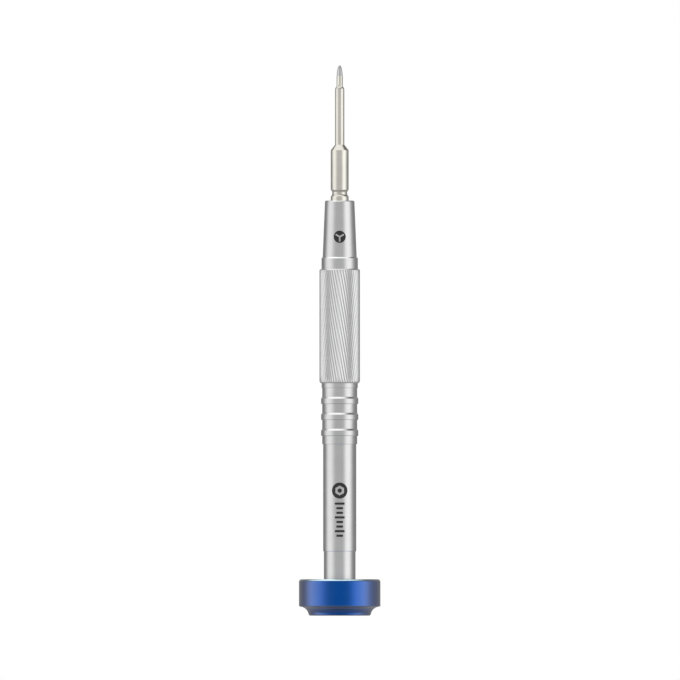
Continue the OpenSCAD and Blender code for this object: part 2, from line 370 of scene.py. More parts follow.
@dataclass(frozen=True)
class Finish:
    """A surface finish: its colour, its gloss and the fine marks of its making.

    Attributes:
        name: The material's name.
        colour: Linear colour.
        metallic: 1 for a metal and 0 for anything else.
        roughness: Mean roughness.
        grain: The direction of the fine marks.
        pitch: Size of the fine marks in millimetres.
        depth: Height of the fine marks in millimetres.
        mottle: Share by which the colour varies over the surface.
        spread: Amount by which the roughness varies over the surface.
        wear_and_highlight_colour: Linear colour of painted highlights and of worn spots, or None.
        gloss: Weights g and h of a clear film that hides the colour. At f, which runs
            from 0 where the surface faces the eye to 1 edge on, it is g f + h f ** 3.
        gloss_colour: Reflectance of that film.
    """

    name: str
    colour: Colour
    metallic: float = 1.0
    roughness: float = 0.25
    grain: Grain = Grain.TURNED
    pitch: float = 0.08
    depth: float = 0.0006
    mottle: float = 0.05
    spread: float = 0.04
    wear_and_highlight_colour: Colour | None = None
    gloss: tuple[float, float] | None = None
    gloss_colour: Colour = (0.61, 0.61, 0.62)

    def marks(self, nodes: Nodes) -> Socket:
        """Coordinates in millimetres, stretched along the finish's fine marks.

        Args:
            nodes: The material's nodes.

        Returns:
            A vector socket for a noise texture whose features are one unit across.
        """
        place = nodes.add("TexCoord").outputs["Object"]
        split = nodes.feed(nodes.add("SeparateXYZ"), Vector=place)
        x, y, z = split.outputs
        per_mark = 1 / (self.pitch * MM)
        parts, scales = [x, y, z], [per_mark] * 3
        if self.grain is Grain.TURNED:
            squares = [nodes.maths("MULTIPLY", part, part) for part in (x, y)]
            parts[0] = nodes.maths("SQRT", nodes.maths("ADD", *squares))
            parts[1] = nodes.maths("ABSOLUTE", nodes.maths("ARCTAN2", y, x))
            scales[1] = MARKS_PER_RADIAN
        elif self.grain is Grain.POLISHED:
            scales[2] = per_mark / SCRATCH_STRETCH
        scaled = [nodes.maths("MULTIPLY", part, scale) for part, scale in zip(parts, scales)]
        return nodes.feed(nodes.add("CombineXYZ"), **dict(zip("XYZ", scaled))).outputs[0]

    @cache
    def material(self) -> bpy.types.Material:
        """Builds the material once, and returns the same one after that."""
        material = bpy.data.materials.new(self.name)
        material.use_nodes = True
        nodes = Nodes(material.node_tree)
        fine = nodes.feed(nodes.add("TexNoise"), Vector=self.marks(nodes), Scale=1.0, Detail=3.0)
        place = nodes.add("TexCoord").outputs["Object"]
        broad = nodes.feed(nodes.add("TexNoise"), Vector=place, Scale=PATCHES_PER_MM / MM, Detail=2.0)
        value = nodes.maths("ADD", nodes.maths("MULTIPLY", fine.outputs["Fac"], 0.5),
                            nodes.maths("MULTIPLY", broad.outputs["Fac"], 0.5))
        dark = tuple(c * (1 - self.mottle) for c in self.colour)
        light = tuple(min(1.0, c * (1 + self.mottle)) for c in self.colour)
        tint = nodes.blend(nodes.ramp(value, 0.35, 0.65, 0, 1), dark, light)
        # Second colour by each point's share: a painted highlight on chosen edges, and wear on the
        # cap's rim.
        if self.wear_and_highlight_colour:
            share = nodes.add("Attribute", attribute_name=WEAR_AND_HIGHLIGHT).outputs["Fac"]
            tint = nodes.blend(share, tint, self.wear_and_highlight_colour)
        shader = nodes.add("BsdfPrincipled")
        nodes.feed(
            shader,
            Base_Color=tint,
            Metallic=self.metallic,
            Roughness=nodes.ramp(
                value, 0.3, 0.7, self.roughness - self.spread, self.roughness + self.spread
            ),
        )
        surface = shader.outputs[0]
        bump = nodes.feed(nodes.add("Bump"), Height=fine.outputs["Fac"], Strength=1.0,
                          Distance=self.depth * MM)
        nodes.feed(shader, Normal=bump.outputs[0])
        if self.gloss:
            film = nodes.feed(nodes.add("BsdfPrincipled"), Base_Color=(*self.gloss_colour, 1.0),
                              Metallic=1.0, Roughness=self.roughness, Normal=bump.outputs[0])
            rim = nodes.feed(nodes.add("LayerWeight"), Blend=0.5).outputs["Facing"]
            steep = nodes.maths("MULTIPLY", nodes.maths("POWER", rim, 2.0), self.gloss[1])
            weight = nodes.maths("MULTIPLY", rim, nodes.maths("ADD", steep, self.gloss[0]))
            surface = nodes.mix(nodes.maths("MINIMUM", weight, 1.0), surface, film.outputs[0])
        nodes.end("OutputMaterial", surface)
        return material


# Its lighter second colour is a painted highlight on up-facing bevels, the grip's foot bevel and the
# teeth's crests.
SATIN_ALUMINIUM = Finish("turned_aluminium", (0.70, 0.70, 0.705), roughness=0.24, pitch=0.06,
                         depth=0.0004, mottle=0.03, spread=0.02, wear_and_highlight_colour=(0.97, 0.97, 0.97))
# Its pale cyan second colour is a painted highlight on the cap's top rounding, and faint wear above the
# cove.
BLUE_ANODISED = Finish("dyed_aluminium", (0.0078, 0.1085, 0.48), roughness=0.22, pitch=0.07,
                       depth=0.0004, mottle=0.04, spread=0.02, wear_and_highlight_colour=(0.62, 0.88, 0.97),
                       gloss=(0.7, 0.25))
BIT_NICKEL = Finish("nickel_plate", (0.81, 0.79, 0.715), roughness=0.22, pitch=0.05,
                    depth=0.0003, mottle=0.04, spread=0.03)
GROUND_POINT = Finish("ground_point", (0.64, 0.64, 0.64), roughness=0.32,
                      grain=Grain.POLISHED, pitch=0.04, depth=0.0006, mottle=0.08)
SOCKET_STEEL = Finish("socket_bore", (0.42, 0.42, 0.44), roughness=0.3, grain=Grain.POLISHED,
                      pitch=0.05)
MAGNET_NICKEL = Finish("magnet_plate", (0.62, 0.62, 0.60), roughness=0.12, grain=Grain.CAST,
                       pitch=0.3)
BLACK_OXIDE = Finish("black_oxide", (0.055, 0.055, 0.06), roughness=0.42, pitch=0.06,
                     mottle=0.2)
RACE_STEEL = Finish("ground_race", (0.52, 0.52, 0.54), roughness=0.16, pitch=0.03)
BALL_STEEL = Finish("polished_ball", (0.70, 0.70, 0.71), roughness=0.05, grain=Grain.CAST,
                    pitch=0.2, depth=0.0001, mottle=0.02, spread=0.01)
CAGE_NYLON = Finish("moulded_nylon", (0.78, 0.72, 0.58), metallic=0.0, roughness=0.55,
                    grain=Grain.CAST, pitch=0.08, depth=0.004, mottle=0.08)
SHIELD_STEEL = Finish("pressed_shield", (0.60, 0.60, 0.60), roughness=0.22, pitch=0.05)
SPRING_STEEL = Finish("hardened_spring", (0.12, 0.12, 0.13), roughness=0.45, grain=Grain.CAST,
                      pitch=0.06, mottle=0.2)
SHIM_STEEL = Finish("lapped_shim", (0.55, 0.55, 0.54), roughness=0.28, grain=Grain.POLISHED,
                    pitch=0.04)
LASER_DARK = Finish("laser_dark", (0.020, 0.020, 0.021), metallic=0.0, roughness=0.55,
                    grain=Grain.CAST, pitch=0.05, depth=0.001, mottle=0.15)


@dataclass(frozen=True)
class Place:
    """What a piece belongs to: its body, a slot name that nothing here reads, and the nodes it stands
    for.
    """

    body: str
    slot: str
    nodes: tuple[str, ...] = ()


def fit(piece: bpy.types.Object, finish: Finish, place: Place) -> bpy.types.Object:
    """Gives a new piece its finish and its place in the model, and reports it.

    Args:
        piece: The piece.
        finish: Its finish.
        place: Its body and the nodes it stands for; its slot is not used.

    Returns:
        The piece.
    """
    piece.data.materials.append(finish.material())
    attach(piece, place.body)
    if place.nodes:
        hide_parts(*place.nodes)
    LOG.info("made %s on %s: %d faces", piece.name, place.body, len(piece.data.polygons))
    return piece


def lowest(node: str) -> float:
    """Height of a node's lowest point in millimetres."""
    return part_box(node)[0].z / MM


def highest(node: str) -> float:
    """Height of a node's highest point in millimetres."""
    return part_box(node)[1].z / MM


# ---- handle


@dataclass
class Handle:
    """The one-piece turned handle, with its finger rings and its knurled grip."""

    neck_d: float = 7.04
    barrel_d: float = 7.36
    waist_d: float = 7.78
    ring_d: float = 8.28
    shoulder_d: float = 8.04
    grip_d: float = 9.0
    collar_d: float = 8.08
    nose_base_d: float = 7.56
    nose_tip_d: float = 6.56
    neck_shown: float = 6.2
    barrel_length: float = 23.8
    step_rise: float = 0.06
    step_width: float = 0.06
    waist_length: float = 12.5
    shoulder_length: float = 1.05
    grip_length: float = 25.45
    collar_length: float = 2.32
    collar_bevel: float = 0.28
    nose_round: float = 0.32
    ring_count: int = 3
    ring_start: float = 1.85
    ring_pitch: float = 3.55
    ring_height: float = 1.6
    ring_bevel: float = 0.36
    ring_round: float = 0.12
    edge: float = 0.15
    grip_foot_d: float = 8.5
    grip_bevel_low: float = 0.45
    grip_bevel_high: float = 0.3
    tooth_count: int = 50
    tooth_samples: int = 8
    tooth_depth: float = 0.107
    # Share of the lighter colour painted as a highlight on the teeth's crests.
    tooth_shine: float = 0.65
    helix_angle: float = 10.1
    grip_rows: int = 26
    bevel_rows: int = 6
    tapped_d: float = 3.0
    tapped_length: float = 8.0
    socket_d: float = 5.2
    drill_point: float = 1.2
    # Tilts in degrees of the bevels that get a painted highlight.
    highlight_tilts: tuple[float, float] = (20, 88)

    def __post_init__(self) -> None:
        """Works out the heights of the handle's steps from the frame."""
        self.neck_end = lowest("handle_barrel")
        self.barrel_z = highest("cap_shell") + self.neck_shown
        self.waist_z = self.barrel_z + self.barrel_length
        self.shoulder_z = self.waist_z + self.waist_length
        self.grip_z = self.shoulder_z + self.shoulder_length
        self.collar_z = self.grip_z + self.grip_length
        self.nose_z = self.collar_z + self.collar_length + self.collar_bevel
        self.nose_end = highest("handle_barrel")
        self.socket_end = lowest("bit_magnet")

    def lower_outline(self) -> Outline:
        """Outline from the foot of the tapped hole, round the neck's end, to the grip."""
        tapped, neck, barrel = self.tapped_d / 2, self.neck_d / 2, self.barrel_d / 2
        waist, shoulder = self.waist_d / 2, self.shoulder_d / 2
        outline = Outline(tapped, self.neck_end + self.tapped_length).to(
            (tapped, self.neck_end + self.edge),
            (tapped + self.edge, self.neck_end),
            (neck - self.edge, self.neck_end),
            (neck, self.neck_end + self.edge),
            (neck, self.barrel_z),
            (barrel - self.step_width, self.barrel_z),
            (barrel, self.barrel_z + self.step_rise),
            (barrel, self.waist_z),
            (waist - self.step_width, self.waist_z),
            (waist, self.waist_z + self.step_rise),
        )
        for number in range(self.ring_count):
            self.add_ring(outline, self.waist_z + self.ring_start + number * self.ring_pitch)
        return outline.to(
            (waist, self.shoulder_z),
            (shoulder - self.step_width, self.shoulder_z),
            (shoulder, self.shoulder_z + self.step_rise),
            (shoulder, self.grip_z),
        )

    def add_ring(self, outline: Outline, height: float) -> None:
        """Adds one finger ring: a small round below, a plain land, a long bevel above."""
        waist, crest, small = self.waist_d / 2, self.ring_d / 2, self.ring_round
        top = height + self.ring_height
        bevel_foot = top - self.ring_bevel
        outline.to((waist, height), (crest - small, height))
        outline.arc((crest - small, height + small), small, -90, 0, 5)
        outline.arc((crest - small, bevel_foot - small), small, 0, 30, 3)
        outline.to((waist + 2 * HAIR, top - 4 * HAIR), (waist, top))

    def grip_outline(self) -> np.ndarray:
        """Radius and height of the rows of the grip, its two bevels split into steps."""
        crest = self.grip_d / 2
        low = np.linspace(
            (self.grip_foot_d / 2, self.grip_z + HAIR),
            (crest, self.grip_z + self.grip_bevel_low), self.bevel_rows, endpoint=False,
        )
        land = np.linspace(
            (crest, self.grip_z + self.grip_bevel_low),
            (crest, self.collar_z - self.grip_bevel_high), self.grip_rows,
        )
        high = np.linspace(
            (crest, self.collar_z - self.grip_bevel_high),
            (self.collar_d / 2, self.collar_z), self.bevel_rows,
        )
        return np.concatenate([low, land, high[1:]])

    def upper_outline(self) -> Outline:
        """Outline from the collar over the nose and down the socket to its drill point."""
        collar, socket = self.collar_d / 2, self.socket_d / 2
        tip, small = self.nose_tip_d / 2, self.nose_round
        outline = Outline(collar, self.collar_z + 2 * HAIR).to(
            (collar, self.collar_z + self.collar_length),
            (self.nose_base_d / 2, self.nose_z),
        )
        outline.arc((tip - small, self.nose_end - small), small, 0, 90, 7)
        return outline.to(
            (socket + self.edge, self.nose_end),
            (socket, self.nose_end - self.edge),
            (socket, self.socket_end),
            (PIN_R, self.socket_end - self.drill_point),
        )

    def radius_at(self, height: np.ndarray) -> np.ndarray:
        """Outer radius of the plain barrel or the nose at a height.

        Args:
            height: Heights in millimetres, on the barrel or on the nose.

        Returns:
            The radii in millimetres.
        """
        heights = [self.barrel_z, self.waist_z, self.nose_z, self.nose_end - self.nose_round]
        radii = [self.barrel_d / 2, self.barrel_d / 2, self.nose_base_d / 2, self.nose_tip_d / 2]
        return np.interp(height, heights, radii)

    def build(self) -> bpy.types.Object:
        """Builds the handle.

        The bevels that face outwards and up, the bevel at the grip's foot and the crests of the teeth
        get a painted highlight in a lighter colour.

        Each row is a circle. On the grip the radius is the smaller of the outline's
        and of crest - depth * g, where g rises from 0 on a tooth's crest to 1 at the
        bottom of the groove beside it. The rows of the grip are turned a little
        further one after the other, by height * tan(helix angle) / crest radius, so
        that the teeth follow a helix.

        Returns:
            The handle's object.
        """
        columns = self.tooth_count * self.tooth_samples
        low, grip, high = self.lower_outline().rows(), self.grip_outline(), self.upper_outline().rows()
        outline = np.concatenate([low, grip, high])
        on_grip = slice(len(low), len(low) + len(grip))
        groove = 1 - abs(2 * (np.arange(columns) / self.tooth_samples % 1) - 1)
        radii = np.repeat(outline[:, :1], columns, axis=1)
        toothed = self.grip_d / 2 - self.tooth_depth * groove
        radii[on_grip] = np.minimum(radii[on_grip], toothed)
        lead = math.tan(math.radians(self.helix_angle)) / (self.grip_d / 2)
        twist = -lead * (np.clip(outline[:, 1], self.grip_z, self.collar_z) - self.grip_z)
        twist[on_grip.stop:] = twist[on_grip.stop - 1]
        # Painted highlight: the upward bevels, the grip's foot bevel and the teeth's crests take the
        # lighter colour.
        tilt = np.degrees(np.arctan2(-np.gradient(outline[:, 0]), np.gradient(outline[:, 1])))
        bevelled = (tilt > self.highlight_tilts[0]) & (tilt < self.highlight_tilts[1])
        bevelled[on_grip][:self.bevel_rows] = True
        wear_and_highlight = np.repeat(bevelled[:, None].astype(float), columns, axis=1)
        wear_and_highlight[on_grip] = np.maximum(wear_and_highlight[on_grip], self.tooth_shine * np.clip(1 - 2 * groove, 0, 1))
        piece = skin("handle_turning", around(radii, outline[:, 1], twist), Ends.POLES, wear_and_highlight)
        return fit(piece, SATIN_ALUMINIUM, Place("handle", "satin_aluminium", ("handle_barrel",)))


# ---- marks


@dataclass(frozen=True)
class Mark:
    """One flat shape marked on the handle: a thin shell that hugs its round surface.

    Attributes:
        name: The piece's name.
        height: Height of the shape's centre in millimetres.
        lift: How far its face stands off the handle in millimetres.
        finish: Its finish.
        steps: Number of points from its inner edge to its outer one.
        middle_share: Size of the closed middle of a shape without a hole.
    """

    name: str
    height: float
    lift: float
    finish: Finish
    steps: int = 12
    middle_share: float = 0.02

    def build(self, handle: Handle, edge: np.ndarray, hole: np.ndarray | None = None) -> None:
        """Builds the shape.

        Points run from the centre, or from the hole's edge, straight out to the edge.
        A point at u across and v up lies at the angle u / r from the front and at the
        height v above the centre, where r is the handle's radius there plus the lift.
        The back of the shell is the same, sunk below the surface.

        Args:
            handle: The handle that carries the mark.
            edge: Outer edge, as u and v in millimetres, shaped (columns, 2).
            hole: Inner edge of a shape with a hole, shaped like the outer one.
        """
        inner = self.middle_share * edge if hole is None else hole
        shares = np.linspace(0, 1, self.steps)[:, None, None]
        front = inner + (edge - inner) * shares
        flat = np.concatenate([front, front[::-1]])
        lift = np.repeat([self.lift, -self.lift], len(front))[:, None]
        height = self.height + flat[..., 1]
        radius = handle.radius_at(height)
        angle = FRONT + flat[..., 0] / radius
        radius = radius + lift
        rows = np.stack([radius * np.cos(angle), radius * np.sin(angle), height], axis=-1)
        piece = skin(self.name, rows, Ends.POLES if hole is None else Ends.JOINED)
        fit(piece, self.finish, Place("handle", "satin_aluminium"))


@dataclass
class Marks:
    """The marks on the front of the handle, all of them plain shapes."""

    handle: Handle
    columns: int = 180
    lift: float = 0.012
    drive_height: float = 84.2
    drive_d: float = 2.72
    wing_reach: float = 1.05
    wing_width: float = 0.34
    disc_height: float = 27.8
    disc_d: float = 3.56
    nut_across: float = 1.9
    nut_hole_d: float = 0.95
    bar_top: float = 24.9
    bar_pitch: float = 1.02
    bar_thickness: float = 0.5
    bar_power: float = 0.3
    bar_lengths: tuple[float, ...] = (2.25, 1.5, 1.5, 2.25, 1.5, 1.5, 2.25, 1.5)

    def edge(self, radius: np.ndarray | float) -> np.ndarray:
        """An outline round a centre: (cos t, sin t) times the radius at each t.

        Args:
            radius: The radius in millimetres, one for all or shaped (columns,).

        Returns:
            The outline as u and v in millimetres, shaped (columns, 2).
        """
        t = steps_round(self.columns)
        return np.stack([radius * np.cos(t), radius * np.sin(t)], axis=-1)

    def wings(self) -> np.ndarray:
        """Radius of three straight wings from one centre, the first one pointing down.

        At an angle a from the nearest wing's middle the edge lies at the smaller of
        reach / cos a, the wing's end, and half its width / sin a, its side.

        Returns:
            The radii in millimetres, shaped (columns,).
        """
        t = steps_round(self.columns)
        off = abs(np.mod(t + TURN / 4 + TURN / 6, TURN / 3) - TURN / 6)
        side = self.wing_width / 2 / np.maximum(np.sin(off), 1e-6)
        return np.minimum(self.wing_reach / np.cos(off), side)

    def bar(self, length: float) -> np.ndarray:
        """A bar with round corners: each of cos t and sin t raised to a low power.

        Args:
            length: The bar's length round the handle in millimetres.

        Returns:
            The outline as u and v in millimetres, shaped (columns, 2).
        """
        wave = self.edge(1.0)
        half = np.array([length, self.bar_thickness]) / 2
        return half * np.sign(wave) * abs(wave) ** self.bar_power

    def build(self) -> None:
        """Builds the drive symbol on the nose and the plain marks on the barrel."""
        disc = self.edge(self.drive_d / 2)
        Mark("drive_mark_disc", self.drive_height, self.lift, LASER_DARK).build(self.handle, disc)
        Mark("drive_mark_wings", self.drive_height, 2 * self.lift, SATIN_ALUMINIUM).build(
            self.handle, self.edge(self.wings()))
        disc = self.edge(self.disc_d / 2)
        Mark("nut_mark_disc", self.disc_height, self.lift, LASER_DARK).build(self.handle, disc)
        nut = np.roll(hexagon_radius(self.columns, self.nut_across), self.columns // 12)
        Mark("nut_mark", self.disc_height, 2 * self.lift, SATIN_ALUMINIUM).build(
            self.handle, self.edge(nut), self.edge(self.nut_hole_d / 2))
        for number, length in enumerate(self.bar_lengths):
            name = f"bar_mark_{number + 1}"
            height = self.bar_top - number * self.bar_pitch
            Mark(name, height, self.lift, LASER_DARK).build(self.handle, self.bar(length))


# ---- bit


@dataclass
class Bit:
    """The bit: a hexagonal shank, a grooved round body, a shaft and a winged point."""

    columns: int = 240
    hex_across: float = 3.4
    pilot: float = 3.0
    body_d: float = 3.98
    collar: float = 0.8
    groove_r: float = 0.98
    groove_middle: float = 0.85
    groove_depth: float = 0.34
    body_length: float = 11.2
    cone: float = 1.2
    shaft_d: float = 2.08
    shaft_length: float = 12.1
    shoulder: float = 0.75
    rod_d: float = 1.44
    rod_length: float = 2.45
    point_step: float = 0.06
    point_power: float = 0.6
    flat_d: float = 0.12
    flute_count: int = 3
    flute_share: float = 0.4
    flute_middle_share: float = 0.6
    rod_rows: int = 15
    point_rows: int = 32
    last_share: float = 0.995
    edge: float = 0.15
    no_flute: float = 10.0

    def __post_init__(self) -> None:
        """Works out the heights of the bit's steps from the frame."""
        self.shank_end = lowest("tri_wing_bit")
        self.tip = highest("tri_wing_bit")
        self.seat = highest("handle_barrel")
        self.cone_z = self.seat + self.body_length
        self.shaft_z = self.cone_z + self.cone
        self.shaft_end = self.shaft_z + self.shaft_length
        self.rod_z = self.shaft_end + self.shoulder
        self.point_z = self.rod_z + self.rod_length

    def shank_outline(self) -> Outline:
        """Outline of the shank, wide enough for its corners, with its end bevelled."""
        corner = self.hex_across / math.sqrt(3)
        return Outline(self.hex_across / 2 - 0.3, self.shank_end).to(
            (corner, self.shank_end + 0.6), (corner, self.seat - self.pilot - 0.01))

    def body_outline(self) -> Outline:
        """Outline of the round body from its pilot to the foot of the fluted rod."""
        body, shaft, rod = self.body_d / 2, self.shaft_d / 2, self.rod_d / 2
        small = self.edge
        groove_z = self.seat + self.collar + self.groove_middle
        reach = self.groove_r - self.groove_depth
        half = math.degrees(math.acos(reach / self.groove_r))
        outline = Outline(body - small, self.seat - self.pilot)
        outline.arc((body - small, self.seat - self.pilot + small), small, -90, 0, 4)
        outline.arc((body + reach, groove_z), self.groove_r, 180 + half, 180 - half, 12)
        outline.to((body, self.cone_z), (shaft, self.shaft_z), (shaft, self.shaft_end))
        bow = np.linspace(0, 1, 9)[1:, None] * math.pi / 2
        rise = np.concatenate(
            [rod + (shaft - rod) * np.cos(bow), self.shaft_end + self.shoulder * np.sin(bow)], axis=1)
        return outline.to(*map(tuple, rise))

    def tip_rows(self) -> np.ndarray:
        """Radius and height of the rod's and the point's rows, before their flutes.

        The point's radius is root * (1 - s ** 2) ** power, where s runs from 0 at its
        foot to 1 at its end, and it stops at a small flat.

        Returns:
            An array shaped (rows, 2).
        """
        rod = self.rod_d / 2
        root = rod - self.point_step
        rise = np.linspace(0, 1, self.rod_rows + 1)[1:] ** 2 * (self.rod_length - 10 * HAIR)
        rod_rows = np.stack([np.full(self.rod_rows, rod), self.rod_z + rise], axis=-1)
        s = np.append(np.linspace(0, 1, self.point_rows + 1)[:-1], self.last_share)
        point = np.stack([root * (1 - s**2) ** self.point_power,
                          self.point_z + s * (self.tip - self.point_z)], axis=-1)
        point[:, 0] = np.maximum(point[:, 0], self.flat_d / 2)
        return np.concatenate([rod_rows, point])

    def flutes(self, heights: np.ndarray) -> np.ndarray:
        """Radius of the flutes' walls, and a large number where there is no flute.

        A flute is a round channel of radius f whose middle lies at d from the axis, so
        at an angle a from its middle its wall is at d cos a - sqrt(f^2 - (d sin a)^2).
        At its foot the channel ends in a quarter of a ball.

        Args:
            heights: Height of every row in millimetres.

        Returns:
            The radii, shaped (rows, columns).
        """
        full, middle = self.flute_share * self.rod_d, self.flute_middle_share * self.rod_d
        below = np.clip(full - (heights - self.rod_z), 0, full)
        channel = np.sqrt(full**2 - below**2)[:, None]
        third = TURN / self.flute_count
        off = np.mod(steps_round(self.columns) - FRONT + third / 2, third) - third / 2
        under = channel**2 - (middle * np.sin(off)) ** 2
        wall = middle * np.cos(off) - np.sqrt(np.maximum(under, 0))
        return np.where(under > 0, wall, self.no_flute)

    def build(self) -> bpy.types.Object:
        """Builds the bit: circles, trimmed back to a hexagon on the shank and to the flutes' walls on
        the rod and the point.

        Returns:
            The bit's object.
        """
        shank, body, tip = self.shank_outline().rows(), self.body_outline().rows(), self.tip_rows()
        outline = np.concatenate([shank, body, tip])
        radii = np.repeat(outline[:, :1], self.columns, axis=1)
        radii[: len(shank)] = np.minimum(
            radii[: len(shank)], hexagon_radius(self.columns, self.hex_across))
        fluted = slice(len(shank) + len(body), None)
        radii[fluted] = np.minimum(radii[fluted], self.flutes(tip[:, 1]))
        piece = skin("winged_bit", around(radii, outline[:, 1]), Ends.POLES)
        fit(piece, BIT_NICKEL, Place("bit", "bit_steel", ("tri_wing_bit",)))
        piece.data.materials.append(GROUND_POINT.material())
        heights = np.empty(3 * len(piece.data.polygons))
        piece.data.polygons.foreach_get("center", heights)
        on_point = heights[2::3] > self.point_z * MM
        piece.data.polygons.foreach_set("material_index", on_point.astype(int))
        return piece


# ---- cap


@dataclass
class Cap:
    """The finger cap: its shell with a cove below the rim, and the disc in its end."""

    columns: int = 256
    cove_r: float = 2.0
    rim_land: float = 0.15
    rim_round: float = 0.28
    foot_bevel: float = 0.25
    top_round: float = 0.62
    # Height of the painted highlight on the shell's top rounding.
    highlight_height: float = 0.36
    rim_wear: float = 0.12
    lip: float = 1.2
    neck_hole_d: float = 7.3
    hole_edge: float = 0.2
    seat_d: float = 9.0
    groove_depth: float = 0.25
    groove_gap: float = 0.02
    disc_recess: float = 1.25
    disc_inset: float = 0.15
    dish: float = 0.35
    dish_land: float = 0.9
    disc_edge: float = 0.12
    foot_edge: float = 0.1
    cove_end: float = 97
    wear_reach: float = 0.9

    def __post_init__(self) -> None:
        """Works out the shell's and the disc's outer sizes from the frame."""
        self.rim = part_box("cap_shell")[1].x / MM
        self.top = highest("cap_shell")
        self.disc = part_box("cap_end_disc")[1].x / MM
        self.disc_top = highest("cap_end_disc")
        self.groove_top = highest("bearing_circlip")
        self.groove_foot = lowest("bearing_circlip") - self.groove_gap

    def shell_outline(self) -> Outline:
        """Outline of the shell, once round its wall: foot, cove, rim, top and grooved bore."""
        foot = self.rim - self.rim_land - self.cove_r - self.foot_bevel
        small, large, hole = self.rim_round, self.top_round, self.neck_hole_d / 2
        cove_low = math.degrees(math.asin(self.foot_bevel / self.cove_r))
        rim_low = self.cove_r + small
        outline = Outline(foot, 0)
        outline.arc((self.rim - self.rim_land, 0), self.cove_r, 180 - cove_low, self.cove_end, 16)
        outline.arc((self.rim - small, rim_low), small, -75, 0, 6)
        outline.arc((self.rim - large, self.top - large), large, 0, 90, 16)
        seat = self.seat_d / 2
        groove = seat + self.groove_depth
        outline.to((hole + self.hole_edge, self.top), (hole, self.top - self.hole_edge),
                   (hole, self.top - self.lip), (seat, self.top - self.lip),
                   (seat, self.groove_top), (groove, self.groove_top),
                   (groove, self.groove_foot), (seat, self.groove_foot),
                   (seat, self.disc_recess), (self.disc, self.disc_recess))
        return outline.to((self.disc, self.foot_edge), (self.disc + self.foot_edge, 0))

    def disc_outline(self) -> Outline:
        """Outline of the disc, from the middle of its dished face to its back."""
        dish_half = self.disc - self.dish_land
        dish_r = (dish_half**2 + self.dish**2) / (2 * self.dish)
        centre = self.disc_inset + self.dish - dish_r
        end = math.degrees(math.acos(dish_half / dish_r))
        small = self.disc_edge
        outline = Outline(PIN_R, self.disc_inset + self.dish)
        outline.arc((0, centre), dish_r, 89.9, end, 16)
        outline.to((self.disc - small, self.disc_inset), (self.disc, self.disc_inset + small),
                   (self.disc, self.disc_top))
        return outline

    def build(self) -> None:
        """Builds the shell and the disc.

        The shell's rounding at the top gets a painted highlight in a pale cyan colour, and the corner
        above its cove is faintly worn.
        """
        shell = self.shell_outline().rows()
        # Painted highlight on the top rounding; faint wear on the corner above the cove.
        top_highlight = (shell[:, 1] > self.top - self.highlight_height) & (shell[:, 0] > self.rim - self.top_round)
        outside = shell[:, 0] > self.rim - self.rim_round
        above = shell[:, 1] - self.cove_r
        above_cove = (above > 0) & (above < self.wear_reach * self.rim_round)
        share = np.maximum(top_highlight, self.rim_wear * (outside & above_cove))
        wear_and_highlight = np.repeat(share[:, None], self.columns, axis=1)
        fit(skin("cap_turning", turned(shell, self.columns), Ends.JOINED, wear_and_highlight), BLUE_ANODISED,
            Place("cap", "blue_anodised", ("cap_shell",)))
        disc = self.disc_outline().rows()
        fit(skin("end_disc_turning", turned(disc, self.columns), Ends.POLES), BLUE_ANODISED,
            Place("cap", "blue_anodised", ("cap_end_disc",)))


# ---- inner pieces


@dataclass
class Inside:
    """The pieces inside the nose and the cap, most of them kept as they are."""

    columns: int = 192
    socket_across: float = 3.5
    mouth_d: float = 4.08
    mouth_depth: float = 3.2
    mouth_bevel: float = 0.2

    def finishes(self) -> dict[str, Finish]:
        """The finish of every node that is shown as it is."""
        kept = {
            "bit_magnet": MAGNET_NICKEL,
            "pivot_screw": BLACK_OXIDE,
            "bearing_shim": SHIM_STEEL,
            "bearing_inner_ring": RACE_STEEL,
            "bearing_outer_ring": RACE_STEEL,
            "bearing_cage": CAGE_NYLON,
            "bearing_shield_top": SHIELD_STEEL,
            "bearing_shield_bottom": SHIELD_STEEL,
            "shield_clip_top": SPRING_STEEL,
            "shield_clip_bottom": SPRING_STEEL,
            "bearing_circlip": SPRING_STEEL,
        }
        balls = [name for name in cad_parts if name.startswith("bearing_ball_")]
        return kept | dict.fromkeys(balls, BALL_STEEL)

    def build_sleeve(self) -> None:
        """Builds the socket sleeve: a tube, hexagonal inside up to its round mouth."""
        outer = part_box("bit_socket_sleeve")[1].x / MM
        low, high = lowest("bit_socket_sleeve"), highest("bit_socket_sleeve")
        ledge = highest("handle_barrel") - self.mouth_depth
        mouth, corner = self.mouth_d / 2, self.socket_across / math.sqrt(3)
        round_part = Outline(mouth, ledge).to(
            (mouth, high - self.mouth_bevel), (mouth + self.mouth_bevel, high), (outer - 0.1, high),
            (outer, high - 0.1), (outer, low), (corner + 0.05, low)).rows()
        hexagonal = np.array([(corner, low), (corner, ledge - 0.02)])
        outline = np.concatenate([hexagonal, round_part])
        radii = np.repeat(outline[:, :1], self.columns, axis=1)
        radii[:2] = hexagon_radius(self.columns, self.socket_across)
        piece = skin("socket_turning", around(radii, outline[:, 1]), Ends.JOINED)
        fit(piece, SOCKET_STEEL, Place("handle", "socket_steel", ("bit_socket_sleeve",)))

    def build(self) -> None:
        """Builds the sleeve and gives every kept node its finish."""
        self.build_sleeve()
        for name, finish in self.finishes().items():
            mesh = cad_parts[name].data
            mesh.materials.clear()
            mesh.materials.append(finish.material())
            LOG.info("dressed %s in %s", name, finish.name)


# ---- studio


@dataclass(frozen=True)
class Strip:
    """An upright strip light far away, which the metal reflects as a band.

    Attributes:
        azimuth: Direction of its middle in degrees, 0 at the front and 90 at the right.
        half_width: Half its width in degrees.
        fade: Width of its soft sides in degrees.
        level: Brightness that it adds.
    """

    azimuth: float
    half_width: float
    fade: float
    level: float


@dataclass(frozen=True)
class Overhead:
    """A round softbox above the tool.

    Attributes:
        aim: Direction of its middle, of length 1.
        spread: Angles from its middle in degrees, where it starts and ends to fade.
        level: Brightness that it adds.
    """

    aim: tuple[float, float, float]
    spread: tuple[float, float]
    level: float


